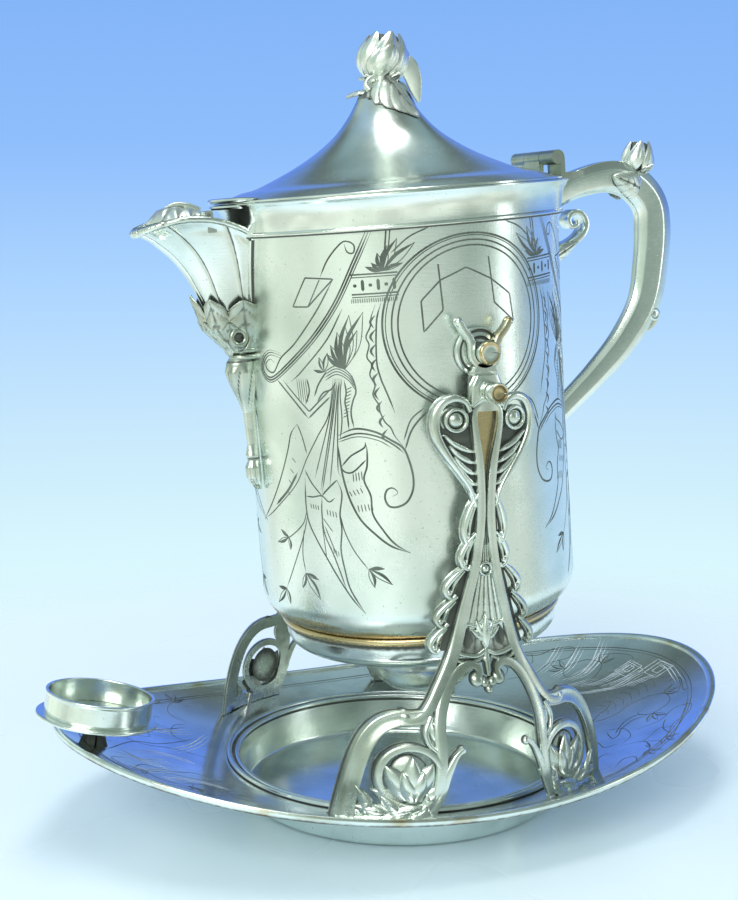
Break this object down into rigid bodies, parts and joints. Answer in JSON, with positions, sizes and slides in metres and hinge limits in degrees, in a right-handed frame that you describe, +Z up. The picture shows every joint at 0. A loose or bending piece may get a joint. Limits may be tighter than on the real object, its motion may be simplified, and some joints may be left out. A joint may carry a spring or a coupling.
{
  "type": "tilting water pitcher",
  "caption": "Silver-plated double-walled ice-water pitcher with hinged lid and spout flap, hung on trunnions between openwork standards on an oval tray with a drip well and a goblet ring.",
  "frame": {"origin": "centre of the drip well's flat bottom, on the table", "axes": "+Z up, +X towards the handle, -X towards the spout and the goblet ring, -Y towards the front standard"},
  "size_m": [0.3672, 0.2416, 0.3831],
  "materials": {
    "silver_plate": "silver plate, bright and worn",
    "engraved_plate": "silver plate, line-engraved, aged",
    "cast_plate": "cast and silver-plated, dark in the recesses",
    "worn_gilt": "plate worn through to a yellow metal",
    "enamel": "white enamel",
    "steel": "bare turned metal"
  },
  "bodies": {
    "stand": {"tray_flange": "engraved_plate", "tray_bead": "silver_plate", "well_pan": "silver_plate", "well_lip": "silver_plate", "goblet_plate": "silver_plate", "goblet_ring": "silver_plate", "goblet_post": "silver_plate", "front_standard": "cast_plate", "rear_standard": "cast_plate", "standard_screws": "steel", "front_fork": "cast_plate", "rear_fork": "cast_plate", "fork_bolts": "cast_plate"},
    "pitcher": {"outer_body": "engraved_plate", "inner_liner": "enamel", "rim_band": "silver_plate", "base_band": "worn_gilt", "base_pan": "silver_plate", "base_knob": "silver_plate", "spout": "silver_plate", "spout_throat": "silver_plate", "ice_guard": "silver_plate", "spout_calyx": "cast_plate", "spout_pendant": "cast_plate", "flap_pin": "steel", "handle": "silver_plate", "handle_bud": "cast_plate", "handle_leaf": "cast_plate", "front_trunnion_disc": "silver_plate", "rear_trunnion_disc": "silver_plate", "front_trunnion": "silver_plate", "rear_trunnion": "silver_plate", "hinge_plate": "silver_plate", "hinge_pin": "steel"},
    "lid": {"lid_shell": "silver_plate", "lid_lining": "silver_plate", "lid_knuckle": "silver_plate", "finial_leaves": "cast_plate", "finial_bud": "cast_plate", "finial_stud": "steel", "finial_nut": "steel"},
    "flap": {"spout_flap": "cast_plate"}
  },
  "joints": [
    {"name": "pitcher_tilt", "type": "hinge", "parent": "stand", "child": "pitcher", "pos_m": [0, 0, 0.2337], "axis": [0, -1, 0], "range_deg": [-20, 75]},
    {"name": "lid_hinge", "type": "hinge", "parent": "pitcher", "child": "lid", "pos_m": [0.07725, 0, 0.32478], "axis": [0, 1, 0], "range_deg": [0, 105]},
    {"name": "flap_hinge", "type": "hinge", "parent": "pitcher", "child": "flap", "pos_m": [-0.10407, 0, 0.29471], "axis": [0, 1, 0], "range_deg": [0, 65]}
  ]
}
